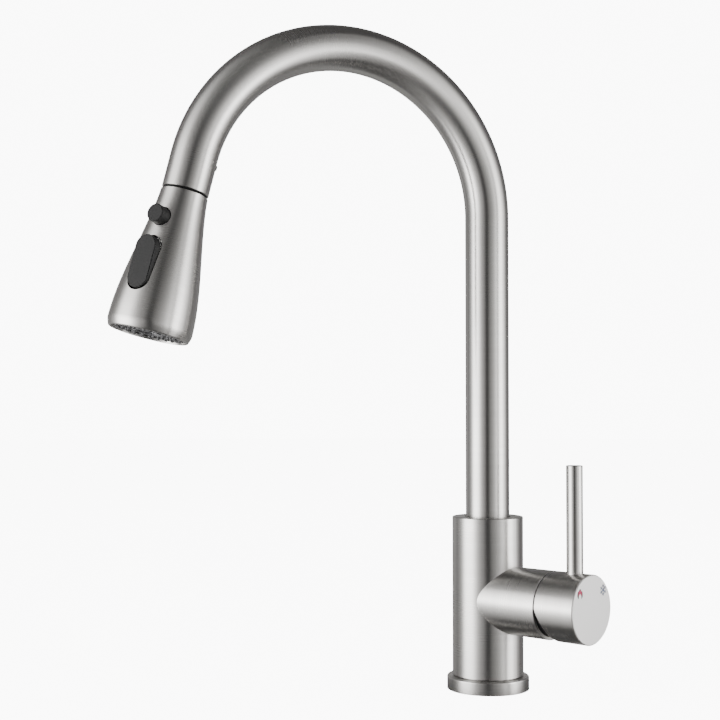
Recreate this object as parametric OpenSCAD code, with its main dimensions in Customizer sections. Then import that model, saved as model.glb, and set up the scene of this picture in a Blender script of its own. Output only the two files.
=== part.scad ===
// Pull down kitchen faucet: one lever mixer with a swivelling gooseneck and a hand spray.
// The origin is the centre of the base underside, on the deck. +Z is up.
// +X runs along the handle branch, and the spout points to spout_azimuth at rest.

/* [Neck] */
// Outside diameter of the neck tube, mm
neck_diameter = 28; // [24:0.5:30]
// Wall thickness of the neck tube, mm
neck_wall = 1.2; // [0.8:0.1:1.6]
// Radius of the bend at the centre of the tube, mm
bend_radius = 100; // [80:1:120]
// Height above the deck where the bend starts, mm
bend_start = 301.5; // [240:0.5:340]
// Angle swept by the bend, degrees
bend_angle = 165.491; // [155:0.001:175]
// Straight length between the bend and the spray head, mm
tail_length = 22; // [20:1:30]
// Direction of the spout at rest, degrees from +X
spout_azimuth = -113; // [-180:1:180]

/* [Body] */
// Outside diameter of the upright body, mm
body_diameter = 45.3; // [44:0.1:48]
// Height of the body top above the deck, mm
body_height = 109.5; // [108:0.5:112]
// Outside diameter of the base ring, mm
base_diameter = 52.4; // [51:0.1:60]
// Height of the base ring, mm
base_height = 8.4; // [8:0.1:8.6]
// Height of the handle branch axis, mm
branch_height = 57.5; // [56:0.5:57.5]
// Outside diameter of the branch and of the lever hub, mm
branch_diameter = 42.6; // [42:0.1:44]

/* [Handle] */
// Distance from the body axis to the seam in front of the hub, mm
seam_distance = 50.6; // [50.4:0.1:50.8]
// Distance from the body axis to the end face of the hub, mm
hub_end = 78.5; // [77:0.5:84]
// Distance from the body axis to the lever rod, mm
lever_distance = 66.5; // [66:0.5:68]
// Diameter of the lever rod, mm
lever_diameter = 10.2; // [8:0.1:11]
// Height of the lever rod top above the deck, mm
lever_top = 144.2; // [120:0.1:170]
// Slope of the relief cut behind the hub, degrees
relief_angle = 20; // [19:0.5:24]

/* [Spray head] */
// Length of the spray head shell below the seam, mm
head_length = 86.5; // [86.5:0.5:88]
// Radius gained from the seam to the widest point, mm
head_flare = 11; // [10:0.1:12]
// Distance from the seam to the widest point, mm
flare_length = 82; // [80:0.5:82]
// Wall thickness of the spray head shell, mm
shell_wall = 1.7; // [1.5:0.1:1.7]
// Turn of the buttons from straight outward, degrees
control_turn = 40; // [0:1:60]
// Distance from the seam to the pause button, mm
pause_distance = 19.6; // [19:0.1:20.5]
// Distance from the seam to the rocker pin, mm
rocker_distance = 48.6; // [48:0.1:49]

/* [Deck mounting] */
// Thickness of the deck that the nut clamps, mm
deck_thickness = 20; // [5:0.5:30]
// Outside diameter of the threaded shank, mm
shank_diameter = 33; // [32:0.2:33]
// Length of the shank below the deck, mm
shank_length = 60; // [55:1:80]
// Outside diameter of the braided hose, mm
hose_diameter = 12; // [10:0.5:12]

/* [Hidden] */
$fn = 96;
seam_gap = 0.6;
neck_radius = neck_diameter / 2;
bore_radius = neck_radius - neck_wall;
hose_radius = hose_diameter / 2;
shank_radius = shank_diameter / 2;
body_bore = shank_radius + 0.1;
head_tilt = 180 - bend_angle;
branch_radius = branch_diameter / 2;
branch_end = seam_distance - seam_gap / 2;
hub_start = seam_distance + seam_gap / 2;
pivot_distance = 45;
sleeve_bottom = 78;
sleeve_top = 104;
hose_split = 97.6;
hose_shift = 8.2;
nut_top = -deck_thickness - 4.5;
rocker_pivot = 16.6;

// Radius of the spray head shell at a distance below the seam
function shell_radius(d) = neck_radius + head_flare * sin(90 * pow(d / flare_length, 1.4));

// Places a piece in the upright plane of the spout
module in_spout() {
    rotate([0, 0, spout_azimuth])
        children();
}

// Places a piece at the seam, with +Z down the spray head and +X towards the body
module in_head() {
    in_spout()
        translate([bend_radius, 0, bend_start])
            rotate([0, -head_tilt, 0])
                translate([bend_radius, 0, -tail_length])
                    rotate([0, 180, 0])
                        children();
}

// Turns a piece of the spray head so that +X points out through the buttons
module to_controls() {
    rotate([0, 0, 180 - control_turn])
        children();
}

// Places a round piece on the branch, with +Z along the branch
module on_branch() {
    translate([0, 0, branch_height])
        rotate([0, 90, 0])
            children();
}

// Ring between two heights
module ring(outer, inner, low, high) {
    translate([0, 0, low])
        difference() {
            cylinder(h = high - low, r = outer);
            translate([0, 0, -1])
                cylinder(h = high - low + 2, r = inner);
        }
}

// Rod between two heights
module rod(radius, low, high) {
    translate([0, 0, low])
        cylinder(h = high - low, r = radius);
}

// Rod that runs out along +X
module cross_rod(radius, low, high) {
    rotate([0, 90, 0])
        rod(radius, low, high);
}

// Slot with round ends, cut out along +X of the control frame
module control_slot(half_width, half_length, low, high) {
    straight = half_length - half_width;
    for (side = [-1, 1])
        translate([0, 0, side * straight])
            cross_rod(half_width, low, high);
    translate([low, -half_width, -straight])
        cube([high - low, 2 * half_width, 2 * straight]);
}

// Lathed stock that follows the inside of the spray head shell
module shell_band(outer_gap, inner_gap, low, high) {
    steps = [for (i = [0:14]) low + (high - low) * i / 14];
    rotate_extrude()
        polygon(concat(
            [for (d = steps) [shell_radius(d) - shell_wall - outer_gap, d]],
            [for (i = [14:-1:0]) [shell_radius(steps[i]) - shell_wall - inner_gap, steps[i]]]));
}

// ---- Body and deck mounting ----

// Upright body with the handle branch, bored for the neck and for the cartridge
module mixer_body() {
    color([0.72, 0.71, 0.69])
        difference() {
            union() {
                rod(20.5, 1.2, 12);
                rotate_extrude()
                    polygon([[0, 8.9], [body_diameter / 2 - 0.3, 8.9], [body_diameter / 2, 9.2],
                        [body_diameter / 2, body_height - 0.4],
                        [body_diameter / 2 - 0.4, body_height], [0, body_height]]);
                on_branch()
                    rotate_extrude()
                        polygon([[0, 0], [branch_radius, 0], [branch_radius, branch_end - 0.3],
                            [branch_radius - 0.3, branch_end], [0, branch_end]]);
            }
            rod(body_bore, 0, body_height - 3.5);
            rod(neck_radius + 0.7, 90, body_height + 1);
            rod(body_bore + 0.8, 75.4, 76.9);
            on_branch() {
                rod(17.5, 0, 45);
                rod(19.3, 41, branch_end + 1);
            }
        }
}

// Trim ring that covers the deck hole
module base_ring() {
    color([0.72, 0.71, 0.69])
        difference() {
            rotate_extrude() {
                square([base_diameter / 2 - 1.2, base_height]);
                square([base_diameter / 2, base_height - 1.2]);
                translate([base_diameter / 2 - 1.2, base_height - 1.2])
                    circle(r = 1.2);
            }
            rod(20.55, -1, base_height + 1);
            ring(24.5, 21.6, -1, 1.8);
        }
}

// Rubber ring in the groove below the base ring
module base_gasket() {
    color([0.1, 0.1, 0.1])
        ring(24.4, 21.7, 0, 1.7);
}

// Hollow threaded shank that goes through the deck hole
module mounting_shank() {
    color([0.78, 0.66, 0.38])
        difference() {
            rotate_extrude()
                polygon([[14.3, -shank_length], [shank_radius - 1, -shank_length],
                    [shank_radius, 1 - shank_length], [shank_radius, 18 - shank_length],
                    [shank_radius - 0.5, 18.5 - shank_length],
                    [shank_radius - 0.5, 19.5 - shank_length],
                    [shank_radius, 20 - shank_length], [shank_radius, 8.5], [14.3, 8.5]]);
            for (side = [-1, 1])
                translate([-4, side * shank_radius - 3, -shank_length - 1])
                    cube([8, 6, 7]);
        }
}

// Rubber washer against the underside of the deck
module deck_washer_rubber() {
    color([0.1, 0.1, 0.1])
        ring(28, 17, nut_top + 1.5, nut_top + 4.5);
}

// Steel washer that the clamp screws push on
module deck_washer_steel() {
    color([0.6, 0.6, 0.6])
        ring(28, 17, nut_top, nut_top + 1.5);
}

// Brass nut with a flange for the clamp screws
module mounting_nut() {
    color([0.78, 0.66, 0.38])
        difference() {
            union() {
                rod(30, nut_top - 6, nut_top - 0.5);
                translate([0, 0, nut_top - 14])
                    cylinder(h = 9, r = 23.5, $fn = 6);
            }
            rod(shank_radius + 0.05, nut_top - 15, nut_top);
            for (turn = [0:120:240])
                rotate([0, 0, turn])
                    translate([25.6, 0, 0])
                        rod(2.5, nut_top - 15, nut_top);
        }
}

// Three screws that press the washers against the deck
module clamp_screws() {
    color([0.6, 0.6, 0.6])
        for (turn = [0:120:240])
            rotate([0, 0, turn])
                translate([25.6, 0, 0]) {
                    rod(2.45, nut_top - 20, nut_top);
                    translate([0, 0, nut_top - 23.5])
                        cylinder(h = 3.6, r = 4.3, $fn = 6);
                }
}

// ---- Valve ----

// Brass core with the drilled hot, cold and mixed water channels
module valve_core() {
    color([0.8, 0.66, 0.36])
        difference() {
            intersection() {
                rod(body_bore - 0.05, 12, 68);
                union() {
                    translate([-1.6, -20, 12])
                        cube([30, 40, 48]);
                    translate([0.8, -20, 59])
                        cube([30, 40, 20]);
                }
            }
            translate([9, -20, branch_height - 17.8])
                cube([20, 40, 40]);
            for (side = [-1, 1])
                translate([3.5, side * 8.3, 0]) {
                    rod(2.6, 11, branch_height - 1);
                    rod(4.5, 11, 24);
                    translate([0, 0, branch_height - 3])
                        cross_rod(2.4, 0, 6);
                }
            translate([9.2, 0, 0]) {
                rod(3, 11, 36);
                rod(4.5, 11, 24);
            }
            translate([0, 0, 34])
                cross_rod(2.4, 4.6, 9.2);
            translate([4.6, 0, 0])
                rod(2.4, 32, branch_height + 6);
            translate([0, 0, branch_height + 6])
                cross_rod(2.4, 4.6, 10);
        }
}

// Positions of the hot, cold and mixed ports on the branch
module on_ports() {
    for (side = [-1, 1])
        translate([3, side * 8.3, 0])
            children();
    translate([-6, 0, 0])
        children();
}

// Brass seat between the core and the cartridge
module cartridge_seat() {
    color([0.8, 0.66, 0.36])
        on_branch()
            difference() {
                rod(17.4, 9, 18);
                on_ports()
                    rod(2.4, 8, 19);
            }
}

// Rubber rings around the three ports of the cartridge
module port_seals() {
    color([0.75, 0.2, 0.15])
        on_branch()
            on_ports()
                ring(4, 2.6, 18, 19.1);
}

// Plastic base of the cartridge
module cartridge_base() {
    color([0.85, 0.85, 0.82])
        on_branch()
            difference() {
                rod(17.4, 18, 22);
                on_ports() {
                    rod(2.4, 17, 23);
                    rod(4.1, 17, 19.2);
                }
            }
}

// Plastic housing of the cartridge
module cartridge_housing() {
    color([0.88, 0.88, 0.86])
        on_branch()
            difference() {
                union() {
                    rod(17.4, 22, 41.2);
                    rod(15.2, 41, 49.4);
                }
                rod(14.6, 21, 32.8);
                rod(12.8, 32, 50);
            }
}

// Fixed ceramic disc with the three ports
module fixed_disc() {
    color([0.93, 0.92, 0.88])
        on_branch()
            difference() {
                rod(14.5, 22, 25.2);
                on_ports()
                    rod(2.2, 21, 26);
            }
}

// Brass nut that holds the cartridge in the branch
module cartridge_nut() {
    color([0.8, 0.66, 0.36])
        on_branch()
            difference() {
                ring(19.25, 15.3, 41.3, 49);
                for (turn = [0:90:270])
                    rotate([0, 0, turn])
                        translate([17.2, 0, 0])
                            rod(1.2, 46, 50);
            }
}

// Dark round cap over the cartridge nut, seen below the lever hub
module dome_cap() {
    color([0.16, 0.16, 0.17])
        difference() {
            translate([pivot_distance, 0, branch_height])
                sphere(r = 19.6);
            translate([pivot_distance, 0, branch_height])
                sphere(r = 18.3);
            translate([0, -30, branch_height - 30])
                cube([49, 60, 60]);
            on_branch()
                rod(11.6, 50, 70);
        }
}

// ---- Swivel joint and water lines ----

// Plastic bearing ring below the lip of the body
module upper_bush() {
    color([0.12, 0.12, 0.12])
        ring(body_bore - 0.1, neck_radius + 0.1, 104.1, 105.4);
}

// Plastic bearing ring below the neck sleeve
module lower_bush() {
    color([0.9, 0.9, 0.86])
        ring(body_bore - 0.1, 13.2, 76.9, 77.9);
}

// Open spring ring that keeps the neck in the body
module snap_ring() {
    color([0.55, 0.55, 0.55])
        difference() {
            ring(body_bore + 0.7, 15.2, 75.5, 76.8);
            translate([-25, -4, 74])
                cube([20, 8, 5]);
        }
}

// Copper tube that takes the mixed water down to the spray hose
module outlet_tube() {
    color([0.8, 0.5, 0.34])
        translate([9.2, 0, 0])
            difference() {
                union() {
                    rod(4.4, -80, 23.8);
                    rod(5.4, -74, -70);
                }
                rod(3, -81, 25);
            }
}

// Solid bar along the lower hose, which steps aside to pass the valve core
module lower_bar(radius, low, high) {
    step = [-hose_shift, 0, 60 - 92];
    length = norm(step);
    rod(radius, 92, high);
    translate([0, 0, 92]) {
        sphere(r = radius + 0.15);
        rotate([0, -180 + atan2(hose_shift, 32), 0])
            rod(radius, 0, length);
    }
    translate([-hose_shift, 0, 60])
        sphere(r = radius + 0.15);
    translate([-hose_shift, 0, 0])
        rod(radius, low, 60);
}

// Lower run of the spray hose, offset beside the valve core
module hose_lower() {
    color([0.62, 0.62, 0.64])
        difference() {
            lower_bar(hose_radius, -shank_length - 8, hose_split - 0.3);
            translate([-hose_shift, 0, 0])
                rod(hose_radius - 2, -shank_length - 9, 59);
        }
}

// Quick coupling on the lower end of the spray hose
module hose_coupling() {
    color([0.15, 0.15, 0.16])
        translate([-hose_shift - 0.4, 0, 0])
            difference() {
                union() {
                    rod(7.8, -shank_length - 26, -shank_length - 4);
                    rod(7.2, -shank_length - 6, -shank_length - 2);
                }
                translate([0.4, 0, 0])
                    rod(hose_radius + 0.05, -shank_length - 8, -shank_length);
                rod(5.5, -shank_length - 27, -shank_length - 9.5);
            }
}

// ---- Neck ----

// Solid bar along the centre line of the neck, up to an angle of the bend
module neck_bend(radius, low, sweep) {
    rod(radius, low, bend_start);
    translate([bend_radius, 0, bend_start])
        rotate([90, 0, 180])
            rotate_extrude(angle = sweep)
                translate([bend_radius, 0])
                    circle(r = radius);
}

// Solid bar along the whole centre line of the neck, with a straight tail
module neck_bar(radius, low, tail) {
    neck_bend(radius, low, bend_angle);
    translate([bend_radius, 0, bend_start])
        rotate([0, -head_tilt, 0])
            translate([bend_radius, 0, -tail])
                rod(radius, 0, tail);
}

// Bent neck tube
module gooseneck() {
    color([0.74, 0.73, 0.71])
        difference() {
            in_spout()
                difference() {
                    neck_bar(neck_radius, sleeve_bottom, tail_length - 0.7);
                    neck_bar(bore_radius, sleeve_bottom - 1, tail_length + 1);
                }
            in_head()
                translate([0, 0, -20])
                    cross_rod(1.3, 5, 20);
        }
}

// Brass bearing sleeve fixed to the lower end of the neck
module neck_sleeve() {
    color([0.8, 0.66, 0.36])
        in_spout()
            difference() {
                ring(16.4, neck_radius + 0.02, sleeve_bottom, sleeve_top);
                for (height = [84, 96])
                    ring(18, 14.6, height - 1.2, height + 1.2);
            }
}

// Rubber rings in the grooves of the neck sleeve
module neck_orings() {
    color([0.1, 0.1, 0.1])
        in_spout()
            for (height = [84, 96])
                translate([0, 0, height])
                    rotate_extrude()
                        translate([15.6, 0])
                            circle(r = 0.95);
}

// Plastic docking collar in the open end of the neck
module dock_collar() {
    color([0.09, 0.09, 0.1])
        in_head()
            difference() {
                union() {
                    rod(bore_radius - 0.05, -24, -0.7);
                    rod(neck_radius - 0.9, -0.7, 0.4);
                }
                translate([0, 0, -25])
                    cylinder(h = 26, r1 = 11.1, r2 = 11.95);
                translate([0, 0, -20])
                    cross_rod(1.2, 5, 20);
            }
}

// Small screw that locks the docking collar
module collar_screw() {
    color([0.13, 0.13, 0.13])
        in_head()
            translate([0, 0, -20])
                difference() {
                    union() {
                        cross_rod(1.15, 11.9, 14.3);
                        cross_rod(1.6, 14.15, 14.75);
                    }
                    translate([14.45, -1.1, -0.25])
                        cube([1, 2.2, 0.5]);
                }
}

// Upper run of the spray hose on the centre line of the neck
module hose_upper() {
    color([0.62, 0.62, 0.64])
        in_spout()
            difference() {
                neck_bend(hose_radius, hose_split, bend_angle - 19);
                neck_bend(hose_radius - 2, hose_split - 1, bend_angle - 18);
            }
}

// ---- Hose end ----

// Straight end of the spray hose behind the spray head
module hose_lead() {
    color([0.62, 0.62, 0.64])
        in_head()
            ring(hose_radius, hose_radius - 2, -50, -38);
}

// Crimped steel ferrule on the hose end
module hose_ferrule() {
    color([0.7, 0.7, 0.72])
        in_head()
            difference() {
                union() {
                    rod(7.1, -45, -36);
                    rod(5, -37, -23);
                    rod(7, -25.4, -23);
                }
                rod(hose_radius + 0.03, -46, -37.9);
                rod(3.6, -39, -22);
            }
}

// Turning nut that joins the hose to the spray head
module hose_nut() {
    color([0.75, 0.62, 0.36])
        in_head()
            difference() {
                union() {
                    rod(9.3, -30, -13.5);
                    translate([0, 0, -34])
                        cylinder(h = 4, r1 = 7.6, r2 = 9.3);
                }
                rod(5.1, -35, -25);
                rod(7.65, -25.5, -13);
            }
}

// Rubber washer in the hose nut
module hose_washer() {
    color([0.1, 0.1, 0.1])
        in_head()
            ring(7.4, 4, -23, -21.1);
}

// ---- Spray head ----

// Black inner pipe with the male thread and the docking cone
module waterway() {
    color([0.11, 0.11, 0.12])
        in_head()
            difference() {
                union() {
                    rod(7.6, -21, -11);
                    translate([0, 0, -12.5])
                        cylinder(h = 13, r1 = 10.9, r2 = 11.45);
                    rod(11.8, 0.5, 12);
                }
                rod(4.7, -22, -8);
                rod(3.4, -9, 13);
            }
}

// Check valve pressed into the inlet
module check_valve() {
    color([0.3, 0.45, 0.75])
        in_head() {
            ring(4.65, 3.3, -20.5, -8.2);
            for (turn = [0:60:120])
                rotate([0, 0, turn])
                    translate([-3.6, -0.4, -19])
                        cube([7.2, 0.8, 3]);
            rod(1.2, -19.5, -11);
        }
}

// Flared metal shell of the spray head
module head_shell() {
    steps = [for (i = [0:24]) 0.7 + (flare_length - 0.7) * i / 24];
    wide = shell_radius(flare_length);
    color([0.74, 0.73, 0.71])
        in_head()
            difference() {
                rotate_extrude()
                    polygon(concat(
                        [[neck_radius - 0.25, 0.7]],
                        [for (i = [1:24]) [shell_radius(steps[i]), steps[i]]],
                        [[wide - 0.5, head_length - 2.7], [wide - 1.15, head_length - 0.9],
                            [wide - 1.5, head_length - 0.25], [wide - 2.1, head_length],
                            [wide - 2.7, head_length], [wide - 2.9, head_length - 0.3],
                            [wide - 2.9, head_length - 7]],
                        [for (i = [22:-1:0]) [shell_radius(steps[i]) - shell_wall, steps[i]]]));
                to_controls() {
                    translate([0, 0, pause_distance])
                        cross_rod(5.85, 5, 30);
                    translate([0, 0, rocker_distance])
                        control_slot(7.3, 17, 5, 40);
                }
            }
}

// Dark plastic frame behind the button openings
module control_frame() {
    color([0.08, 0.08, 0.08])
        in_head()
            to_controls()
                difference() {
                    intersection() {
                        shell_band(0.15, 1.35, 13, 69);
                        translate([2, -10.5, 12])
                            cube([30, 21, 60]);
                    }
                    translate([0, 0, pause_distance])
                        cross_rod(5.65, 5, 30);
                    translate([0, 0, rocker_distance])
                        control_slot(7.15, 16.9, 5, 40);
                }
}

// Plastic valve block with the pause valve bore and the diverter bore
module diverter_housing() {
    color([0.86, 0.86, 0.84])
        in_head()
            to_controls()
                difference() {
                    union() {
                        rod(11.6, 12, 70);
                        for (side = [-1, 1])
                            translate([6, side * 5.5 - 1, rocker_distance - 2.6])
                                cube([11.9, 2, 5.2]);
                    }
                    rod(3, 11, 36);
                    translate([-4.5, 0, 0])
                        rod(3, 30, 71);
                    translate([0, 0, 33])
                        cross_rod(3, -4.5, 0);
                    translate([0, 0, pause_distance]) {
                        cross_rod(2.1, -2, 13);
                        cross_rod(5.7, 7, 13);
                    }
                    translate([8.2, 0, 0])
                        rod(2.65, 37, 61.5);
                    translate([8, -2.2, rocker_distance - 4])
                        cube([5, 4.4, 8]);
                    translate([0, 0, rocker_distance])
                        rotate([90, 0, 0])
                            translate([rocker_pivot, 0, -9])
                                cylinder(h = 18, r = 1.02);
                }
}

// Steel pin that carries the rocker
module rocker_pin() {
    color([0.6, 0.6, 0.6])
        in_head()
            to_controls()
                translate([rocker_pivot, -6.5, rocker_distance])
                    rotate([-90, 0, 0])
                        cylinder(h = 13, r = 1);
}

// Return spring of the pause button, drawn as joined rings
module pause_spring() {
    color([0.6, 0.6, 0.6])
        in_head()
            to_controls()
                translate([0, 0, pause_distance])
                    rotate([0, 90, 0]) {
                        for (i = [0:4])
                            translate([0, 0, 7.45 + i * 1.2])
                                rotate_extrude()
                                    translate([3.8, 0])
                                        circle(r = 0.35);
                        translate([3.55, -0.3, 7.3])
                            cube([0.5, 0.6, 5.1]);
                    }
}

// Round pause button with its plunger
module pause_button() {
    color([0.15, 0.15, 0.16])
        in_head()
            to_controls()
                translate([0, 0, pause_distance])
                    rotate([0, 90, 0]) {
                        rod(5.4, 12.75, 22.7);
                        translate([0, 0, 22.7])
                            cylinder(h = 0.5, r1 = 5.4, r2 = 4.9);
                        rod(2, 3.4, 13);
                    }
}

// Rocker that changes between stream and spray
module mode_rocker() {
    color([0.15, 0.15, 0.16])
        in_head()
            to_controls()
                translate([0, 0, rocker_distance])
                    difference() {
                        union() {
                            control_slot(6.85, 15.8, 18.6, 23.6);
                            control_slot(6.45, 15.4, 23, 24);
                            translate([14.6, -4.3, -2.4])
                                cube([4.4, 8.6, 4.8]);
                            translate([9.8, -1.8, -1])
                                cube([6, 3.6, 2]);
                        }
                        rotate([90, 0, 0])
                            translate([rocker_pivot, 0, -9])
                                cylinder(h = 18, r = 1.05);
                    }
}

// Sliding spool of the diverter
module diverter_spool() {
    color([0.9, 0.9, 0.88])
        in_head()
            to_controls()
                translate([8.2, 0, rocker_distance])
                    difference() {
                        rod(2.6, -9.6, 9.6);
                        ring(4, 1.4, -1.4, 1.4);
                        for (side = [-1, 1])
                            ring(4, 1.9, side * 6 - 0.8, side * 6 + 0.8);
                    }
}

// Water chamber behind the spray face
module spray_manifold() {
    color([0.2, 0.2, 0.21])
        in_head()
            difference() {
                rod(20.8, 70.1, 80.9);
                difference() {
                    rod(19.6, 72, 82);
                    rod(10.4, 71, 83);
                }
                rod(8.8, 75.9, 82);
                rod(3, 69, 77);
                for (turn = [0:60:300])
                    rotate([0, 0, turn])
                        translate([14.5, 0, 0])
                            rod(2, 69, 73);
            }
}

// Positions of the spray nozzles on the face
module on_nozzles() {
    for (turn = [0:30:330])
        rotate([0, 0, turn])
            translate([11.8, 0, 0])
                children();
    for (turn = [0:20:340])
        rotate([0, 0, turn + 8])
            translate([15.4, 0, 0])
                children();
    for (turn = [0:15:345])
        rotate([0, 0, turn + 4])
            translate([18.9, 0, 0])
                children();
}

// Soft plate with the spray nozzles
module spray_nozzles() {
    color([0.55, 0.55, 0.57])
        in_head()
            difference() {
                union() {
                    ring(20.8, 9.6, 81, 82.3);
                    on_nozzles()
                        rod(0.95, 82, 86);
                }
                on_nozzles()
                    rod(0.45, 80, 87);
            }
}

// Grey spray face plate
module spray_face() {
    color([0.4, 0.4, 0.42])
        in_head()
            difference() {
                ring(21.9, 9.1, 82.4, 85);
                ring(20.5, 10.2, 84.4, 86);
                on_nozzles()
                    rod(1.05, 82, 86);
            }
}

// Rubber ring between the face plate and the shell
module face_seal() {
    color([0.1, 0.1, 0.1])
        in_head()
            ring(21.9, 20.95, 80.5, 82.3);
}

// Cage of the aerator in the middle of the face
module aerator_housing() {
    color([0.3, 0.3, 0.31])
        in_head()
            difference() {
                union() {
                    rod(8.7, 76, 85.4);
                    ring(9, 8, 83.4, 85.4);
                }
                rod(7.5, 78.4, 86);
                rod(2.4, 75, 79);
            }
}

// Fine mesh of the aerator
module aerator_mesh() {
    color([0.65, 0.65, 0.67])
        in_head() {
            ring(7.4, 6.6, 83.4, 84.4);
            for (i = [-4:4]) {
                translate([i * 1.5 - 0.2, -sqrt(49 - 2.25 * i * i), 83.6])
                    cube([0.4, 2 * sqrt(49 - 2.25 * i * i), 0.5]);
                translate([-sqrt(49 - 2.25 * i * i), i * 1.5 - 0.2, 83.6])
                    cube([2 * sqrt(49 - 2.25 * i * i), 0.4, 0.5]);
            }
        }
}

// ---- Handle ----

// Rotor of the cartridge, slotted for the stem
module stem_carrier() {
    color([0.3, 0.45, 0.75])
        difference() {
            on_branch()
                rod(12.6, 33, 49);
            translate([32, -4.7, branch_height - 8.5])
                cube([18, 9.4, 17]);
            translate([pivot_distance, 0, branch_height])
                rotate([90, 0, 0])
                    translate([0, 0, -14])
                        cylinder(h = 28, r = 1.55);
        }
}

// Steel pin that the stem tilts on
module stem_pin() {
    color([0.6, 0.6, 0.6])
        translate([pivot_distance, -11.5, branch_height])
            rotate([-90, 0, 0])
                cylinder(h = 23, r = 1.5);
}

// Ceramic disc that slides over the ports
module moving_disc() {
    color([0.93, 0.92, 0.88])
        on_branch()
            difference() {
                rod(11.4, 25.3, 28.4);
                rod(5.5, 24, 27);
            }
}

// Plastic driver on the back of the moving disc
module disc_driver() {
    color([0.85, 0.85, 0.82])
        difference() {
            union() {
                on_branch()
                    rod(11.4, 28.4, 32.6);
                translate([32, -4.6, branch_height - 4.6])
                    cube([5.5, 9.2, 9.2]);
            }
            on_branch()
                rod(3.15, 32.8, 38);
        }
}

// Lever stem between the hub and the moving disc
module cartridge_stem() {
    color([0.8, 0.66, 0.36])
        difference() {
            union() {
                translate([pivot_distance - 9, 0, branch_height])
                    sphere(r = 3);
                on_branch() {
                    rod(2.2, 37, 42);
                    rod(4.4, 41, 50.4);
                }
                translate([50, -4, branch_height - 4])
                    cube([23, 8, 8]);
            }
            translate([pivot_distance, 0, branch_height])
                rotate([90, 0, 0])
                    translate([0, 0, -9])
                        cylinder(h = 18, r = 1.56);
        }
}

// Round lever hub, relieved at the back so that the lever can tilt
module lever_hub() {
    color([0.74, 0.73, 0.71])
        difference() {
            on_branch()
                rotate_extrude()
                    polygon([[0, hub_start], [branch_radius - 0.3, hub_start],
                        [branch_radius, hub_start + 0.3], [branch_radius, hub_end - 0.6],
                        [branch_radius - 0.6, hub_end], [0, hub_end]]);
            translate([pivot_distance, 0, branch_height])
                sphere(r = 20);
            translate([hub_start + 0.3, -30, branch_height])
                rotate([0, 180 - relief_angle, 0])
                    translate([0, 0, -2])
                        cube([30, 60, 50]);
            translate([60, -4.05, branch_height - 4.05])
                cube([13.1, 8.1, 8.1]);
            translate([lever_distance, 0, branch_height])
                rod(lever_diameter / 2 + 0.05, 13, 30);
            translate([70.5, 0, branch_height])
                rod(2.5, -25, -3);
        }
}

// Straight lever rod
module lever_rod() {
    color([0.76, 0.75, 0.73])
        translate([lever_distance, 0, 0])
            rotate_extrude()
                polygon([[0, branch_height + 13.05], [lever_diameter / 2, branch_height + 13.05],
                    [lever_diameter / 2, lever_top - 0.4], [lever_diameter / 2 - 0.4, lever_top],
                    [0, lever_top]]);
}

// Grub screw that locks the hub on the stem
module hub_set_screw() {
    color([0.2, 0.2, 0.2])
        translate([70.5, 0, branch_height])
            difference() {
                rod(2.45, -18.5, -4.02);
                translate([0, 0, -19])
                    cylinder(h = 3, r = 1.4, $fn = 6);
            }
}

// Flame sign for hot water on the hub end face
module hot_mark() {
    color([0.75, 0.1, 0.12])
        translate([hub_end, -12.6, branch_height + 11.1])
            rotate([90, 0, 90])
                linear_extrude(height = 0.15)
                    polygon([[-1.2, -3], [-1.5, -2], [-1.2, -0.9], [0, 0.1], [1.2, -0.9],
                        [1.5, -2], [1.2, -3], [2.3, -2.4], [2.8, -1], [2.6, 0.5], [2, 1.6],
                        [1.4, 1.1], [0.8, 2.3], [0, 3.1], [-0.8, 2.3], [-1.2, 1.2],
                        [-1.9, 1.7], [-2.6, 0.5], [-2.8, -1], [-2.3, -2.4]]);
}

// Snow flake sign for cold water on the hub end face
module cold_mark() {
    color([0.2, 0.25, 0.35])
        translate([hub_end, 12.4, branch_height + 11])
            rotate([90, 0, 90])
                linear_extrude(height = 0.15) {
                    circle(r = 0.7);
                    for (turn = [30:60:330])
                        rotate(turn) {
                            translate([0, -0.25])
                                square([3.5, 0.5]);
                            for (side = [-1, 1])
                                translate([1.9, 0])
                                    rotate(side * 55)
                                        translate([0, -0.2])
                                            square([1.2, 0.4]);
                        }
                }
}

mixer_body();
base_ring();
base_gasket();
mounting_shank();
deck_washer_rubber();
deck_washer_steel();
mounting_nut();
clamp_screws();
valve_core();
cartridge_seat();
port_seals();
cartridge_base();
cartridge_housing();
fixed_disc();
cartridge_nut();
dome_cap();
upper_bush();
lower_bush();
snap_ring();
outlet_tube();
hose_lower();
hose_coupling();
gooseneck();
neck_sleeve();
neck_orings();
dock_collar();
collar_screw();
hose_upper();
hose_lead();
hose_ferrule();
hose_nut();
hose_washer();
waterway();
check_valve();
head_shell();
control_frame();
diverter_housing();
rocker_pin();
pause_spring();
pause_button();
mode_rocker();
diverter_spool();
spray_manifold();
spray_nozzles();
spray_face();
face_seal();
aerator_housing();
aerator_mesh();
stem_carrier();
stem_pin();
moving_disc();
disc_driver();
cartridge_stem();
lever_hub();
lever_rod();
hub_set_screw();
hot_mark();
cold_mark();
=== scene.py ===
import math
import bpy
import bmesh
from mathutils import Matrix, Vector


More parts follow.
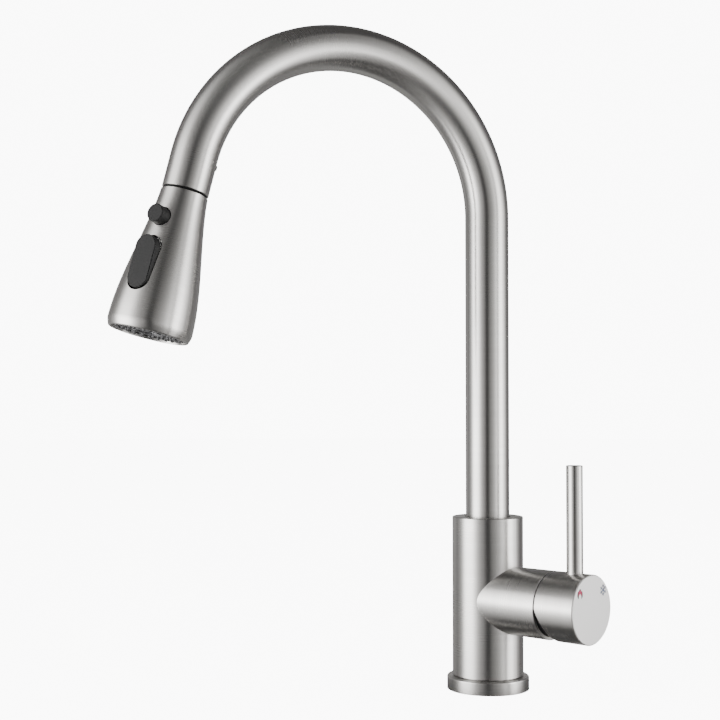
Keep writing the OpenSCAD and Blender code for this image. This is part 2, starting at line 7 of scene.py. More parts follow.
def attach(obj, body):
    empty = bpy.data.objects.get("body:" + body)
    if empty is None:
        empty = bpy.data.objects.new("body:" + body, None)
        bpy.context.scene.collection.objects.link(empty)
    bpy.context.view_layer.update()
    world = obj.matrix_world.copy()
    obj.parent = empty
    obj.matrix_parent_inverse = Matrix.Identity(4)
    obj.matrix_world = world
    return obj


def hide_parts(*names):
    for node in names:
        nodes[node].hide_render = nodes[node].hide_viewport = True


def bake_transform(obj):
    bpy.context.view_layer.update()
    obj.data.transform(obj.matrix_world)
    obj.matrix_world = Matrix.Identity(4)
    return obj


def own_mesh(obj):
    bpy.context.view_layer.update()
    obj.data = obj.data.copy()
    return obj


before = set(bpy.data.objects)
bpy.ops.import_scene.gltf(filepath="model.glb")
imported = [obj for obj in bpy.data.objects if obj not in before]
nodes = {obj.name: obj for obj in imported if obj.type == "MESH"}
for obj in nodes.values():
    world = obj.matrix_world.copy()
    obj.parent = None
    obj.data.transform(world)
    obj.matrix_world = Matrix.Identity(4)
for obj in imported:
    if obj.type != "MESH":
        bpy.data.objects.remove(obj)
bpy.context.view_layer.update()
collection = bpy.context.scene.collection

# The same driving sizes as the CAD model, in metres and degrees
NECK_R = 0.014
BORE_R = 0.0128
BEND_R = 0.100
BEND_Z = 0.3015
BEND_SWEEP = 165.491
TAIL = 0.022
BODY_R = 0.02265
BRANCH_Z = 0.0575
HUB_END = 0.0785
ROD_X = 0.0665
HEAD_LENGTH = 0.0865
FLARE = 0.011
FLARE_LENGTH = 0.082
WALL = 0.0017
PAUSE = 0.0196
ROCKER = 0.0486
HOSE_R = 0.006

# Half the gap between the neck and the spray head, and the soft edge on either side of it
SEAM_GAP = 0.0007
SEAM_EDGE = 0.00025

BEND_END = BEND_Z + BEND_R * math.radians(BEND_SWEEP)
NECK_LENGTH = BEND_END + TAIL
TILT = math.radians(180 - BEND_SWEEP)
SEAM = Vector((BEND_R * (1 + math.cos(TILT)) + TAIL * math.sin(TILT), 0,
               BEND_Z + BEND_R * math.sin(TILT) - TAIL * math.cos(TILT)))

# Placings of the spout, the spray head with its controls, the handle branch and the lever rod
UPRIGHT = Matrix.Identity(4)
SPOUT = Matrix.Rotation(math.radians(-113), 4, "Z")
HEAD = SPOUT @ Matrix.Translation(SEAM) @ Matrix.Rotation(math.pi - TILT, 4, "Y")
CONTROLS = HEAD @ Matrix.Rotation(math.radians(140), 4, "Z")
BRANCH = Matrix.Translation((0, 0, BRANCH_Z)) @ Matrix.Rotation(math.pi / 2, 4, "Y")
ROD = Matrix.Translation((ROD_X, 0, 0))

# Brushed metal: noise scale across its hairlines and along them, stretch of the shine, and colours
FINE = 2600.0
COARSE = 14.0
ANISOTROPY = 0.85
DARK_STEEL = (0.54, 0.531, 0.517)
LIGHT_STEEL = (0.59, 0.58, 0.565)
SATIN_STEEL = (0.74, 0.733, 0.73)

# Phase per metre that lays thirty-two strands each way round the hose
STRANDS = 4 * math.pi * 8 / (2 * math.pi * HOSE_R)


# ---- Materials ----

class Shader:
    """Small wrapper that adds nodes to one material."""

    def __init__(self, name):
        self.material = bpy.data.materials.new(name)
        self.material.use_nodes = True
        self.tree = self.material.node_tree
        self.tree.nodes.clear()
        self.bsdf = self.add("ShaderNodeBsdfPrincipled")
        out = self.add("ShaderNodeOutputMaterial")
        self.link(self.bsdf.outputs[0], out.inputs["Surface"])

    def add(self, kind, **props):
        node = self.tree.nodes.new(kind)
        for key, value in props.items():
            setattr(node, key, value)
        return node

    def link(self, a, b):
        self.tree.links.new(a, b)

    def set(self, **values):
        """Constants for the surface's sockets, written with _ for a space."""
        for key, value in values.items():
            self.bsdf.inputs[key.replace("_", " ")].default_value = value

    def drive(self, **values):
        """Node outputs for the surface's sockets, written with _ for a space."""
        for key, value in values.items():
            self.link(value, self.bsdf.inputs[key.replace("_", " ")])

    def vmath(self, operation, a, b=None):
        node = self.add("ShaderNodeVectorMath", operation=operation)
        for i, value in enumerate((a, b)):
            if value is None:
                continue
            if isinstance(value, tuple):
                node.inputs[i].default_value = value
            else:
                self.link(value, node.inputs[i])
        return node.outputs[0]

    def math(self, operation, a, b=0.0):
        node = self.add("ShaderNodeMath", operation=operation)
        for i, value in enumerate((a, b)):
            if isinstance(value, (int, float)):
                node.inputs[i].default_value = value
            else:
                self.link(value, node.inputs[i])
        return node.outputs[0]

    def times(self, a, b):
        return self.math("MULTIPLY", a, b)

    def plus(self, a, b):
        return self.math("ADD", a, b)

    def noise(self, vector, scale, detail, roughness=0.5):
        node = self.add("ShaderNodeTexNoise")
        node.inputs["Scale"].default_value = scale
        node.inputs["Detail"].default_value = detail
        node.inputs["Roughness"].default_value = roughness
        self.link(vector, node.inputs["Vector"])
        return node.outputs["Fac"]

    def remap(self, value, low, high, start=0.0, end=1.0):
        """Turns the range from start to end into the range from low to high."""
        node = self.add("ShaderNodeMapRange")
        self.link(value, node.inputs["Value"])
        node.inputs["From Min"].default_value = start
        node.inputs["From Max"].default_value = end
        node.inputs["To Min"].default_value = low
        node.inputs["To Max"].default_value = high
        return node.outputs["Result"]

    def mix_colour(self, factor, a, b):
        node = self.add("ShaderNodeMix", data_type="RGBA")
        self.link(factor, node.inputs["Factor"])
        for socket, value in ((node.inputs[6], a), (node.inputs[7], b)):
            if isinstance(value, tuple):
                socket.default_value = (*value, 1.0)
            else:
                self.link(value, socket)
        return node.outputs[2]

    def mix_vector(self, factor, a, b):
        node = self.add("ShaderNodeMix", data_type="VECTOR")
        self.link(factor, node.inputs["Factor"])
        self.link(a, node.inputs[4])
        self.link(b, node.inputs[5])
        return node.outputs[1]

    def bump(self, height, strength, distance):
        node = self.add("ShaderNodeBump")
        node.inputs["Strength"].default_value = strength
        node.inputs["Distance"].default_value = distance
        self.link(height, node.inputs["Height"])
        self.drive(Normal=node.outputs["Normal"])

    def coords(self, kind):
        return self.add("ShaderNodeTexCoord").outputs[kind]

    def local(self, place):
        """Object coordinates turned into the frame of one placing."""
        mapping = self.add("ShaderNodeMapping", vector_type="TEXTURE")
        mapping.inputs["Location"].default_value = place.to_translation()
        mapping.inputs["Rotation"].default_value = place.to_euler("XYZ")
        self.link(self.coords("Object"), mapping.inputs["Vector"])
        return mapping.outputs["Vector"]

    def split(self, vector):
        node = self.add("ShaderNodeSeparateXYZ")
        self.link(vector, node.inputs[0])
        return node.outputs[0], node.outputs[1], node.outputs[2]

    def join(self, *values):
        node = self.add("ShaderNodeCombineXYZ")
        for i, value in enumerate(values):
            if isinstance(value, (int, float)):
                node.inputs[i].default_value = value
            else:
                self.link(value, node.inputs[i])
        return node.outputs[0]


def grain(s, place):
    """Hairline coordinates and world tangent of metal turned about the Z axis of a placing."""
    x, y, z = s.split(s.local(place))
    radius = s.math("SQRT", s.plus(s.times(x, x), s.times(y, y)))
    hair = s.add("ShaderNodeMapping", vector_type="VECTOR")
    hair.inputs["Rotation"].default_value = place.to_euler("XYZ")
    s.link(s.vmath("CROSS_PRODUCT", (0, 0, 1), s.join(x, y, 0.0)), hair.inputs["Vector"])
    turn = s.add("ShaderNodeVectorTransform", vector_type="VECTOR", convert_from="OBJECT",
                 convert_to="WORLD")
    s.link(hair.outputs["Vector"], turn.inputs[0])
    normal = s.add("ShaderNodeNewGeometry").outputs["Normal"]
    tangent = s.vmath("NORMALIZE", s.vmath("CROSS_PRODUCT", normal, turn.outputs[0]))
    hairs = s.join(s.times(x, COARSE), s.times(y, COARSE), s.times(s.plus(z, radius), FINE))
    return hairs, tangent


def brushed(name, place=None, second=None, limit=0.0, face=None, relief=0.09):
    """Brushed metal with hairlines round the axis of a placing, or across the UVs' U direction.
    Further than limit from the Z axis the second placing takes over. Beyond face along X the
    metal is plain satin."""
    s = Shader(name)
    point = s.coords("Object")
    if place is None:
        u, v, _ = s.split(s.coords("UV"))
        hairs = s.join(s.times(u, FINE), s.times(v, COARSE), 0.0)
        tangent = s.add("ShaderNodeTangent", direction_type="UV_MAP", uv_map="UVMap").outputs[0]
        stretch = (0.12, 1.7, 1.0)
    else:
        hairs, tangent = grain(s, place)
        stretch = (1.7, 1.7, 0.12)
    if second is not None:
        other_hairs, other_tangent = grain(s, second)
        x, y, _ = s.split(point)
        beyond = s.math("GREATER_THAN", s.plus(s.times(x, x), s.times(y, y)), limit * limit)
        hairs = s.mix_vector(beyond, hairs, other_hairs)
        tangent = s.mix_vector(beyond, tangent, other_tangent)
    narrow = s.noise(hairs, 1.0, 4.0, 0.65)
    wide = s.noise(s.vmath("MULTIPLY", hairs, stretch), 1.0, 2.0)
    cloud = s.noise(point, 26.0, 3.0)
    both = s.plus(s.times(narrow, 0.7), s.times(wide, 0.3))
    colour = s.mix_colour(s.remap(both, 0.0, 1.0, 0.3, 0.7), DARK_STEEL, LIGHT_STEEL)
    roughness = s.plus(s.remap(both, 0.32, 0.26, 0.25, 0.75), s.remap(cloud, -0.015, 0.02, 0.3, 0.7))
    s.set(Metallic=1.0, IOR=1.5, Anisotropic=ANISOTROPY)
    if face is not None:
        end = s.math("GREATER_THAN", s.split(point)[0], face)
        colour = s.mix_colour(end, colour, SATIN_STEEL)
        roughness = s.plus(roughness, s.times(end, 0.24))
        s.drive(Anisotropic=s.times(s.math("SUBTRACT", 1.0, end), ANISOTROPY))
    s.drive(Base_Color=colour, Roughness=roughness, Tangent=tangent)
    s.bump(both, relief, 0.00012)
    return s.material


def machined(name, colour, rough=0.3, metallic=1.0):
    """Turned or plated metal with fine cloudy wear."""
    s = Shader(name)
    point = s.local(UPRIGHT)
    fine = s.noise(point, 900.0, 4.0, 0.6)
    cloud = s.noise(point, 70.0, 3.0)
    dark = tuple(c * 0.8 for c in colour)
    s.set(Metallic=metallic, IOR=1.5)
    s.drive(Base_Color=s.mix_colour(s.remap(cloud, 0.0, 1.0, 0.3, 0.7), dark, colour),
            Roughness=s.plus(s.remap(fine, rough - 0.06, rough + 0.08, 0.3, 0.7),
                             s.remap(cloud, 0.04, -0.04, 0.3, 0.7)))
    s.bump(fine, 0.12, 0.0001)
    return s.material


def moulded(name, colour, rough=0.45, coat=0.0, relief=0.25, scale=1800.0, ior=1.48):
    """Moulded plastic or rubber with a fine texture and a slight change of tone."""
    s = Shader(name)
    point = s.local(UPRIGHT)
    fine = s.noise(point, scale, 3.0, 0.6)
    cloud = s.noise(point, 55.0, 3.0)
    light = tuple(min(1.0, c * 1.25 + 0.004) for c in colour)
    s.set(Metallic=0.0, IOR=ior, Coat_Weight=coat, Coat_Roughness=0.2)
    s.drive(Base_Color=s.mix_colour(s.remap(cloud, 0.0, 1.0, 0.3, 0.7), colour, light),
            Roughness=s.plus(s.remap(fine, rough - 0.05, rough + 0.06, 0.3, 0.7),
                             s.remap(cloud, -0.03, 0.03, 0.3, 0.7)))
    s.bump(fine, relief, 0.00008)
    return s.material


def flame_ink(name):
    """Red print round the middle of the flame sign, with a dark outline."""
    s = Shader(name)
    _, y, z = s.split(s.coords("Object"))
    aside = s.math("DIVIDE", s.math("ABSOLUTE", s.plus(y, 0.0126)), 0.0017)
    above = s.math("DIVIDE", s.math("ABSOLUTE", s.math("SUBTRACT", z, BRANCH_Z + 0.0115)), 0.0016)
    fine = s.noise(s.local(UPRIGHT), 2500.0, 2.0)
    edge = s.plus(s.math("MAXIMUM", aside, above), s.remap(fine, -0.06, 0.06))
    s.set(Metallic=0.0, IOR=1.45, Roughness=0.45)
    s.drive(Base_Color=s.mix_colour(s.math("GREATER_THAN", edge, 1.0), (0.50, 0.03, 0.10),
                                    (0.06, 0.055, 0.055)))
    return s.material


def braided(name):
    """Woven steel strands, laid out on UVs in metres, with painted shade in the crevices of the weave."""
    s = Shader(name)
    u, v, _ = s.split(s.coords("UV"))
    lay = s.times(s.plus(u, v), STRANDS)
    rise = s.times(s.math("SUBTRACT", u, v), STRANDS)
    over = s.math("ABSOLUTE", s.math("SINE", lay))
    under = s.math("ABSOLUTE", s.math("SINE", rise))
    weave = s.times(s.math("SINE", s.times(lay, 0.5)), s.math("SINE", s.times(rise, 0.5)))
    pick = s.math("GREATER_THAN", weave, 0.0)
    height = s.plus(s.times(pick, over), s.times(s.math("SUBTRACT", 1.0, pick), under))
    s.set(Metallic=0.9, IOR=1.5)
    # Painted shade: the colour runs from light steel at the strands' crowns to near black at their edges
    # and in the gaps between them
    s.drive(Base_Color=s.mix_colour(height, (0.10, 0.10, 0.105), (0.62, 0.62, 0.63)),
            Roughness=s.remap(height, 0.5, 0.28))
    s.bump(height, 0.7, 0.0004)
    return s.material


def paint(material, *names):
    for name in names:
        data = nodes[name].data
        data.materials.clear()
        data.materials.append(material)


head_metal = brushed("head_metal", HEAD)
neck_metal = brushed("neck_metal", relief=0.05)
braid = braided("braid")
thread_brass = machined("thread_brass", (0.70, 0.52, 0.24), 0.26)
plain_steel = machined("plain_steel", (0.5, 0.5, 0.51), 0.34)
shadow_plastic = moulded("shadow_plastic", (0.006, 0.006, 0.0065), 0.6, ior=1.18)

paint(brushed("ring_metal", UPRIGHT), "base_ring")
paint(brushed("body_metal", UPRIGHT, BRANCH, BODY_R + 0.0001), "mixer_body")
paint(brushed("hub_metal", BRANCH, face=HUB_END - 0.0003), "lever_hub")
paint(brushed("rod_metal", ROD), "lever_rod")
paint(plain_steel, "deck_washer_steel", "clamp_screws", "snap_ring", "hose_ferrule", "rocker_pin",
      "aerator_mesh", "stem_pin")
paint(machined("black_steel", (0.035, 0.035, 0.037), 0.4, 0.8), "collar_screw", "hub_set_screw")
paint(machined("brass", (0.70, 0.52, 0.24), 0.3),
      "mounting_nut", "valve_core", "cartridge_seat", "cartridge_nut", "neck_sleeve", "hose_nut",
      "cartridge_stem")
paint(machined("copper", (0.72, 0.40, 0.26), 0.28), "outlet_tube")
paint(moulded("black_rubber", (0.016, 0.016, 0.017), 0.62, relief=0.4, scale=1200.0),
      "base_gasket", "deck_washer_rubber", "neck_orings", "hose_washer", "face_seal")
paint(moulded("red_rubber", (0.35, 0.03, 0.025), 0.6, relief=0.4, scale=1200.0), "port_seals")
paint(moulded("black_plastic", (0.012, 0.012, 0.013), 0.42),
      "dome_cap", "upper_bush", "hose_coupling", "waterway", "spray_manifold")
paint(shadow_plastic, "dock_collar", "control_frame")
paint(moulded("key_plastic", (0.012, 0.012, 0.0125), 0.56, relief=0.3, scale=2400.0, ior=1.33),
      "pause_button", "mode_rocker")
paint(moulded("face_plastic", (0.06, 0.06, 0.063), 0.5, ior=1.4), "spray_face")
paint(moulded("grey_plastic", (0.11, 0.11, 0.115), 0.42), "aerator_housing")
paint(moulded("nozzle_rubber", (0.15, 0.15, 0.155), 0.6, relief=0.3, scale=1500.0, ior=1.4),
      "spray_nozzles")
paint(moulded("white_plastic", (0.72, 0.72, 0.69), 0.4),
      "cartridge_base", "cartridge_housing", "lower_bush", "diverter_housing", "diverter_spool",
      "disc_driver")
paint(moulded("blue_plastic", (0.10, 0.19, 0.45), 0.4), "check_valve", "stem_carrier")
paint(moulded("ceramic", (0.80, 0.78, 0.73), 0.15, coat=0.4, relief=0.05), "fixed_disc", "moving_disc")
paint(flame_ink("hot_ink"), "hot_mark")
paint(moulded("cold_ink", (0.05, 0.07, 0.15), 0.4), "cold_mark")


# ---- Pieces ----

def add_object(name, verts, faces, material):
    mesh = bpy.data.meshes.new(name)
    mesh.from_pydata([tuple(v) for v in verts], [], faces)
    mesh.materials.append(material)
    obj = bpy.data.objects.new(name, mesh)
    collection.objects.link(obj)
    return obj


def piece(name, verts, faces, uvs, material, sharp=30):
    """Smooth piece with edges sharper than an angle kept sharp."""
    obj = add_object(name, verts, faces, material)
    if uvs is not None:
        layer = obj.data.uv_layers.new(name="UVMap")
        layer.data.foreach_set("uv", [value for pair in uvs for value in pair])
    obj.data.polygons.foreach_set("use_smooth", [True] * len(obj.data.polygons))
    obj.data.set_sharp_from_angle(angle=math.radians(sharp))
    return obj


def span(low, high, count):
    return [low + (high - low) * i / count for i in range(count + 1)]


def circle(radius, z, count):
    turns = [2 * math.pi * i / count for i in range(count)]
    return [(radius * math.cos(a), radius * math.sin(a), z) for a in turns]


def ring_faces(rows, segments, closed=True):
    """Faces between rows of points set round an axis."""
    faces = []
    for j in range(rows if closed else rows - 1):
        k = (j + 1) % rows
        for i in range(segments):
            n = (i + 1) % segments
            faces.append((j * segments + i, j * segments + n, k * segments + n, k * segments + i))
    return faces


def rings(name, stations, material, closed=True, segments=96, sharp=30):
    """Skin over circles. Each station is a placing, a radius and a distance for the UVs."""
    verts = [place @ Vector(point) for place, radius, _ in stations
             for point in circle(radius, 0, segments)]
    count = len(stations)
    faces = ring_faces(count, segments, closed)
    distances = [distance for _, _, distance in stations]
    step = 2 * math.pi * max(radius for _, radius, _ in stations) / segments
    uvs = []
    for j in range(count if closed else count - 1):
        here, there = distances[j], distances[(j + 1) % count]
        for i in range(segments):
            low, high = step * i, step * (i + 1)
            uvs += [(here, low), (here, high), (there, high), (there, low)]
    if not closed:
        for j, order in ((0, reversed(range(segments))), (count - 1, range(segments))):
            around = list(order)
            faces.append([j * segments + i for i in around])
            uvs += [(distances[j], step * i) for i in around]
    return piece(name, verts, faces, uvs, material, sharp)


def neck_at(s):
    """Placing on the neck's centre line at a distance above the deck."""
    sweep = math.radians(BEND_SWEEP)
    if s < BEND_Z:
        return SPOUT @ Matrix.Translation((0, 0, s))
    a = min((s - BEND_Z) / BEND_R, sweep)
    beyond = max(0.0, s - BEND_Z - BEND_R * sweep)
    centre = Matrix.Translation((BEND_R * (1 - math.cos(a)), 0, BEND_Z + BEND_R * math.sin(a)))
    return SPOUT @ centre @ Matrix.Rotation(a, 4, "Y") @ Matrix.Translation((0, 0, beyond))


NECK_LOW = 0.078
NECK_LIP = NECK_LENGTH - SEAM_GAP

neck_steps = span(NECK_LOW, BEND_Z, 30) + span(BEND_Z, BEND_END, 120)[1:]
neck_steps += span(BEND_END, NECK_LIP - SEAM_EDGE, 4)[1:]
neck_rings = [(neck_at(v), NECK_R, v) for v in neck_steps]
neck_rings += [(neck_at(NECK_LIP), NECK_R - SEAM_EDGE, NECK_LIP)]
neck_rings += [(neck_at(NECK_LIP), BORE_R, NECK_LENGTH + SEAM_GAP)]
neck_rings += [(neck_at(v), BORE_R, v) for v in reversed(neck_steps)]
neck = rings("neck_tube", neck_rings, neck_metal)
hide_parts("gooseneck")
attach(neck, "spout")

# The spray hose follows the neck up to HOSE_LEAVE, then crosses to the axis of the spray head.
# Between PULL_START and PULL_END it holds the spare length PULL. These lie behind the seam
HOSE_WALL = 0.0015
PULL = 0.2
HOSE_LEAVE, PULL_START, PULL_END, HOSE_END = -0.082, -0.058, -0.046, -0.038
CROSS_START, CROSS_LENGTH = 0.048, 0.034
# The hose beside the valve core: its lower end, its double bend and its joint with the upper part
BODY_HOSE_LOW, BODY_BEND_LOW, BODY_HOSE_TOP, NECK_HOSE_LOW = -0.068, 0.055, 0.0973, 0.0976
BODY_HOSE_ASIDE = 0.0082
BODY_CROSS_START, BODY_CROSS_LENGTH = 0.058, 0.036


def ease(value, start, length):
    """Smooth step from 0 to 1."""
    t = min(max((value - start) / length, 0.0), 1.0)
    return t * t * (3 - 2 * t)


def along(line, d):
    """Placing at a distance on a line in the XZ plane, turned the way the line runs there."""
    way = line(d + 0.0005) - line(d - 0.0005)
    return Matrix.Translation(line(d)) @ Matrix.Rotation(math.atan2(way.x, way.z), 4, "Y")


def head_line(d):
    """Centre line of the hose by the distance along the spray head's axis, behind the seam."""
    back = math.asin((-TAIL - d) / BEND_R)
    aside = BEND_R * (1 - math.cos(back))
    return Vector((aside * ease(-d, CROSS_START, CROSS_LENGTH), 0, d))


def body_line(z):
    """Centre line of the hose beside the valve core, a smooth double bend."""
    return Vector((-BODY_HOSE_ASIDE * (1 - ease(z, BODY_CROSS_START, BODY_CROSS_LENGTH)), 0, z))


def reach(w):
    """Part of the pull zone where a point moves by a part w of the pull."""
    return 0.5 - math.sin(math.asin(1 - 2 * w) / 3)


def hollow(name, stations, node):
    """Hose with a bore, from stations along its centre line. It stands for one node."""
    skin = stations + [(place, HOSE_R - HOSE_WALL, u) for place, _, u in reversed(stations)]
    obj = rings(name, skin, braid, segments=48, sharp=50)
    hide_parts(node)
    return obj


leave = BEND_END - BEND_R * math.asin((-HOSE_LEAVE - TAIL) / BEND_R)
upper_steps = span(NECK_HOSE_LOW, BEND_Z, 40)[:-1] + span(BEND_Z, leave, 90)
upper_rings = [(neck_at(v), HOSE_R, v) for v in upper_steps]
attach(hollow("hose_in_neck", upper_rings, "hose_upper"), "spout")

# Each step is a place on the head's axis and the hose length up to it
lead_steps = [(d, leave + d - HOSE_LEAVE) for d in span(HOSE_LEAVE, PULL_START, 16)[:-1]]
for w in span(0, 1, 100):
    d = PULL_START + (PULL_END - PULL_START) * reach(w)
    lead_steps.append((d, leave + d - HOSE_LEAVE + PULL * w))
lead_steps += [(d, leave + d - HOSE_LEAVE + PULL) for d in span(PULL_END, HOSE_END, 4)[1:]]
lead_rings = [(HEAD @ along(head_line, d), HOSE_R, length) for d, length in lead_steps]
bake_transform(hollow("spray_hose", lead_rings, "hose_lead"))

lower_steps = span(BODY_HOSE_LOW, BODY_BEND_LOW, 24)[:-1] + span(BODY_BEND_LOW, BODY_HOSE_TOP, 40)
lower_rings = [(along(body_line, z), HOSE_R, z) for z in lower_steps]
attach(hollow("hose_in_body", lower_rings, "hose_lower"), "faucet_body")


def carve(obj, cutters):
    """Cuts the cutters out of a piece and removes them."""
    for cutter in cutters:
        cut = obj.modifiers.new("cut", "BOOLEAN")
        cut.operation = "DIFFERENCE"
        cut.solver = "EXACT"
        cut.object = cutter
    bpy.context.view_layer.update()
    solved = obj.evaluated_get(bpy.context.evaluated_depsgraph_get())
    mesh = bpy.data.meshes.new_from_object(solved)
    obj.modifiers.clear()
    obj.data = mesh
    mesh.set_sharp_from_angle(angle=math.radians(30))
    for cutter in cutters:
        bpy.data.objects.remove(cutter)


def slot_cutter(name, distance, radius, straight):
    """Cutter out through the controls, round or with a straight part on either side of its middle."""
    end = [(radius * math.cos(a), straight + radius * math.sin(a)) for a in span(0, math.pi, 48)]
    outline = end + [(-y, -z) for y, z in (end if straight else end[1:-1])]
    count = len(outline)
    verts = [CONTROLS @ Vector((x, y, z + distance)) for x in (0.005, 0.040) for y, z in outline]
    faces = [tuple(reversed(range(count))), tuple(range(count, 2 * count))]
    faces += [(i, (i + 1) % count, count + (i + 1) % count, count + i) for i in range(count)]
    return piece(name, verts, faces, None, head_metal)


def head_radius(d):
    return NECK_R + FLARE * math.sin(math.pi / 2 * (d / FLARE_LENGTH) ** 1.4)


def paint_shade_in_holes(mesh):
    """Painted shade: gives the metal walls of the holes for the controls the black of the frame behind
    them, standing in for the shade inside the holes.
    """
    mesh.materials.append(shadow_plastic)
    inward = CONTROLS.inverted()
    for polygon in mesh.polygons:
        middle = inward @ polygon.center
        normal = inward.to_3x3() @ polygon.normal
        near = middle.x > 0 and abs(middle.y) < 0.0075 and 0.005 < middle.z < 0.072
        if near and abs(normal.x) < 0.02:
            polygon.material_index = 1


# The shell's lower rim: millimetres in from the widest radius and up from the lower end
RIM = [(0.5, 2.7), (0.82, 1.75), (1.12, 0.95), (1.3, 0.5), (1.55, 0.2), (1.85, 0.05), (2.15, 0.0),
       (2.6, 0.0), (2.82, 0.1), (2.9, 0.3), (2.9, 7.0)]
INSIDE_LENGTH = 0.074

shell_profile = [(NECK_R - SEAM_EDGE, SEAM_GAP), (head_radius(SEAM_GAP + SEAM_EDGE), SEAM_GAP + SEAM_EDGE)]
shell_profile += [(head_radius(d), d) for d in span(SEAM_GAP, FLARE_LENGTH, 60)[1:]]
shell_profile += [(NECK_R + FLARE - inset / 1000, HEAD_LENGTH - rise / 1000) for inset, rise in RIM]
shell_profile += [(head_radius(d) - WALL, d) for d in reversed(span(SEAM_GAP, INSIDE_LENGTH, 30))]
shell_rings = [(HEAD @ Matrix.Translation((0, 0, d)), radius, d) for radius, d in shell_profile]
shell = rings("head_skin", shell_rings, head_metal, segments=160)
carve(shell, [slot_cutter("pause_hole", PAUSE, 0.00585, 0.0),
              slot_cutter("rocker_hole", ROCKER, 0.0073, 0.0097)])
# Painted shade: the walls of the holes for the controls are coloured near black
paint_shade_in_holes(shell.data)
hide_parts("head_shell")
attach(shell, "spray_head")


def threads():
    """Shank with a real screw thread that runs in and out smoothly, notched at the lower end."""
    segments, outer, bore = 72, 0.0165, 0.0143
    low, thread_top, high = -0.060, -0.0005, 0.0085
    pitch, depth, chamfer, run_out = 0.0015, 0.0007, 0.001, 0.0015
    rows = span(low, high, 360)
    verts = []
    for z in rows:
        lead = min((z - low) / chamfer, 1.0)
        fade = min(max((thread_top - z) / run_out, 0.0), 1.0)
        for i in range(segments):
            phase = (z / pitch - i / segments) % 1.0
            radius = outer - depth * abs(2 * phase - 1) * lead * fade - chamfer * (1 - lead)
            a = 2 * math.pi * i / segments
            verts.append((radius * math.cos(a), radius * math.sin(a), z))
    verts += circle(bore, high, segments) + circle(bore, low, segments)
    obj = piece("shank_thread", verts, ring_faces(len(rows) + 2, segments), None, thread_brass, sharp=40)
    base = [(-0.004, -0.003), (0.004, -0.003), (0.004, 0.003), (-0.004, 0.003)]
    box = [(3, 2, 1, 0), (4, 5, 6, 7), (0, 1, 5, 4), (1, 2, 6, 5), (2, 3, 7, 6), (3, 0, 4, 7)]
    cutters = []
    for side in (-1, 1):
        corners = [(x, side * outer + y, z) for z in (-0.062, -0.054) for x, y in base]
        cutters.append(piece("notch", corners, box, None, thread_brass))
    carve(obj, cutters)
    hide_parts("mounting_shank")
    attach(obj, "faucet_body")


threads()

# Coiled return spring of the pause button
COIL_R, WIRE_R, COIL_LOW, COIL_HIGH = 0.0038, 0.00035, 0.0077, 0.0120
COIL_TURNS = 5.5
WIRE_LENGTH = 0.13

spring_place = CONTROLS @ Matrix.Translation((0, 0, PAUSE)) @ Matrix.Rotation(math.pi / 2, 4, "Y")
coil = []
for t in span(0, 1, 240):
    a = 2 * math.pi * COIL_TURNS * t
    height = COIL_LOW + (COIL_HIGH - COIL_LOW) * t
    centre = Matrix.Translation((COIL_R * math.cos(a), COIL_R * math.sin(a), height))
    across = Matrix.Rotation(a, 4, "Z") @ Matrix.Rotation(-math.pi / 2, 4, "X")
    coil.append((spring_place @ centre @ across, WIRE_R, t * WIRE_LENGTH))
spring = rings("return_spring", coil, plain_steel, closed=False, segments=12, sharp=60)
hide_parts("pause_spring")
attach(spring, "spray_head")
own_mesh(spring)

# Soft edges on the keys
for name in ("pause_button", "mode_rocker"):
    weld = nodes[name].modifiers.new("weld", "WELD")
    weld.merge_threshold = 0.000002
    bevel = nodes[name].modifiers.new("bevel", "BEVEL")
    bevel.width = 0.00018
    bevel.segments = 3
    bevel.limit_method = "ANGLE"
    bevel.angle_limit = math.radians(35)


# ---- Studio ----

def stage_mesh(name, verts, faces, material, *unseen_by):
    """Piece of the studio, left out for the given kinds of ray."""
    obj = add_object(name, verts, faces, material)
    for ray in unseen_by:
        setattr(obj, "visible_" + ray, False)


def glow_material(name, strength, albedo=0.0):
    s = Shader(name)
    cloud = s.noise(s.local(UPRIGHT), 2.0, 2.0)
    s.set(Metallic=0.0, Roughness=0.9, IOR=1.3, Emission_Color=(1.0, 1.0, 1.0, 1.0),
          Emission_Strength=strength)
    s.drive(Base_Color=s.mix_colour(cloud, (albedo,) * 3, (albedo * 1.02,) * 3))
    return s.material


# Turn of the camera about the upright axis, from straight in front, and the studio's warm white
CAMERA_TURN = 37.484
WARM_WHITE = (1.0, 0.992, 0.98, 1.0)

stage_mesh("floor", [(-6, -6, 0), (6, -6, 0), (6, 6, 0), (-6, 6, 0)], [(0, 1, 2, 3)],
           glow_material("floor", 9.5, 0.9), "glossy", "diffuse", "shadow")

# Keeps the pieces below the deck out of the reflections in the hub
stage_mesh("apron", circle(0.05, -0.0006, 64), [tuple(range(64))], glow_material("apron", 0.1),
           "camera", "diffuse", "shadow", "transmission")

ball = bmesh.new()
bmesh.ops.create_uvsphere(ball, u_segments=48, v_segments=24, radius=5.9)
stage_mesh("backdrop", [v.co for v in ball.verts], [[v.index for v in f.verts] for f in ball.faces],
           glow_material("backdrop", 10.0), "glossy", "diffuse", "shadow", "transmission", "volume_scatter")
ball.free()

# Soft studio surround, a glowing drum. Angle round the object from the camera's side, and brightness
SURROUND = [(-180, 0.24), (-165, 0.22), (-150, 0.24), (-124, 0.30), (-118, 0.12), (-112, 0.26),
            (-100, 0.42), (-91, 0.85), (-84, 2.3), (-77, 4.8), (-70, 5.8), (-57, 5.8), (-50, 5.0),
            (-44, 3.0), (-35, 1.25), (-25, 0.58), (-12, 0.26), (-4, 0.0), (4, 0.0), (12, 0.22),
            (25, 0.42), (39, 0.85), (50, 1.9), (57, 1.4), (61, 0.15), (66, 4.0), (82, 5.2), (90, 2.9),
            (104, 1.2), (116, 0.32), (128, 0.09), (150, 0.17)]
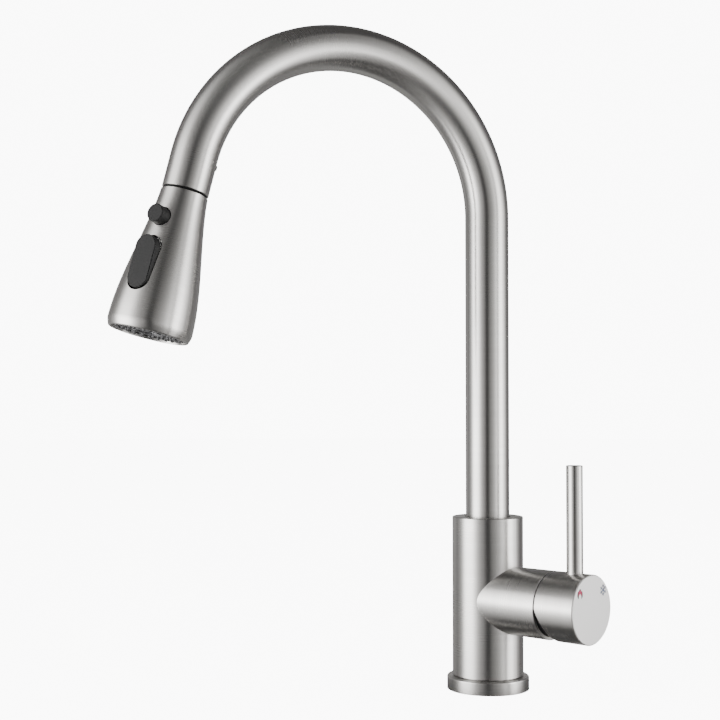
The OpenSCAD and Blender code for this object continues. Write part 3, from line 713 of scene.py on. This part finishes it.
# Angle above the handle branch, seen from the middle of the drum, and the part of the brightness there
HEIGHTS = [(-90, 0.02), (-50, 0.03), (-32, 0.12), (-20, 0.24), (-11, 0.48), (-4, 0.9), (3, 1.0),
           (9, 0.8), (14, 0.7), (22, 0.5), (33, 0.2), (50, 0.06), (90, 0.03)]
# Even light from all round, by height
FILL = [(-90, 0.10), (-25, 0.10), (-10, 0.05), (8, 0.045), (22, 0.10), (90, 0.12)]
# Light off the counter behind the object, by the angle round it and by height
REAR = [(-180, 1.0), (-130, 1.0), (-105, 0.0), (105, 0.0), (130, 1.0), (180, 1.0)]
REAR_HEIGHTS = [(-90, 0.32), (-32, 0.32), (-16, 0.1), (-8, 0.0), (90, 0.0)]
DRUM_R = 1.3
DRUM_GAIN = 11.0
DRUM_SIDES = 128
PEAK = 6.0


def ramp(s, value, limit, stops, scale=1.0):
    """Colour ramp over the angles from -limit to limit. The ramp holds each level divided by scale."""
    place = s.remap(value, 0.0, 1.0, -limit, limit)
    node = s.add("ShaderNodeValToRGB")
    s.link(place, node.inputs["Fac"])
    elements = node.color_ramp.elements
    elements.remove(elements[-1])
    for i, (angle, level) in enumerate(stops):
        spot = (math.radians(angle) + limit) / (2 * limit)
        element = elements.new(spot) if i else elements[0]
        element.position = spot
        element.color = (level / scale, level / scale, level / scale, 1.0)
    return node.outputs["Color"]


def drum_material():
    s = Shader("drum")
    x, y, z = s.split(s.local(Matrix.Rotation(math.radians(CAMERA_TURN - 90), 4, "Z")))
    turned = s.math("ARCTAN2", y, x)
    raised = s.math("ARCTANGENT", s.math("DIVIDE", s.math("SUBTRACT", z, BRANCH_Z), DRUM_R))
    strips = ramp(s, turned, math.pi, SURROUND, PEAK)
    fade = ramp(s, raised, math.pi / 2, HEIGHTS)
    glow = s.times(s.times(strips, fade), DRUM_GAIN)
    rear = s.times(ramp(s, turned, math.pi, REAR), ramp(s, raised, math.pi / 2, REAR_HEIGHTS))
    fill = s.plus(rear, ramp(s, raised, math.pi / 2, FILL))
    s.set(Metallic=0.0, Roughness=1.0, IOR=1.0, Base_Color=(0.0, 0.0, 0.0, 1.0), Emission_Color=WARM_WHITE)
    s.drive(Emission_Strength=s.plus(glow, fill))
    return s.material


drum_points = circle(DRUM_R, -1.6, DRUM_SIDES) + circle(DRUM_R, 2.4, DRUM_SIDES)
drum_faces = [(i, DRUM_SIDES + i, DRUM_SIDES + (i + 1) % DRUM_SIDES, (i + 1) % DRUM_SIDES)
              for i in range(DRUM_SIDES)]
stage_mesh("drum", drum_points, drum_faces, drum_material(),
           "camera", "shadow", "transmission", "volume_scatter")

world = bpy.data.worlds.new("studio")
world.use_nodes = True
bpy.context.scene.world = world
background = world.node_tree.nodes["Background"]
background.inputs["Color"].default_value = WARM_WHITE
background.inputs["Strength"].default_value = 0.1

camera_data = bpy.data.cameras.new("camera")
camera_data.lens = 66.49
camera_data.sensor_width = 36.0
camera_data.clip_start = 0.05
camera_data.clip_end = 50.0
camera = bpy.data.objects.new("camera", camera_data)
collection.objects.link(camera)
yaw, pitch = 0.09535, 0.03191
forward = Vector((-math.sin(yaw) * math.cos(pitch), math.cos(yaw) * math.cos(pitch), math.sin(pitch)))
turn = Matrix.Rotation(math.radians(CAMERA_TURN), 3, "Z")
camera.location = turn @ Vector((0.0, -0.8622, 0.18255))
camera.rotation_euler = (turn @ forward).to_track_quat("-Z", "Y").to_euler()
bpy.context.scene.camera = camera
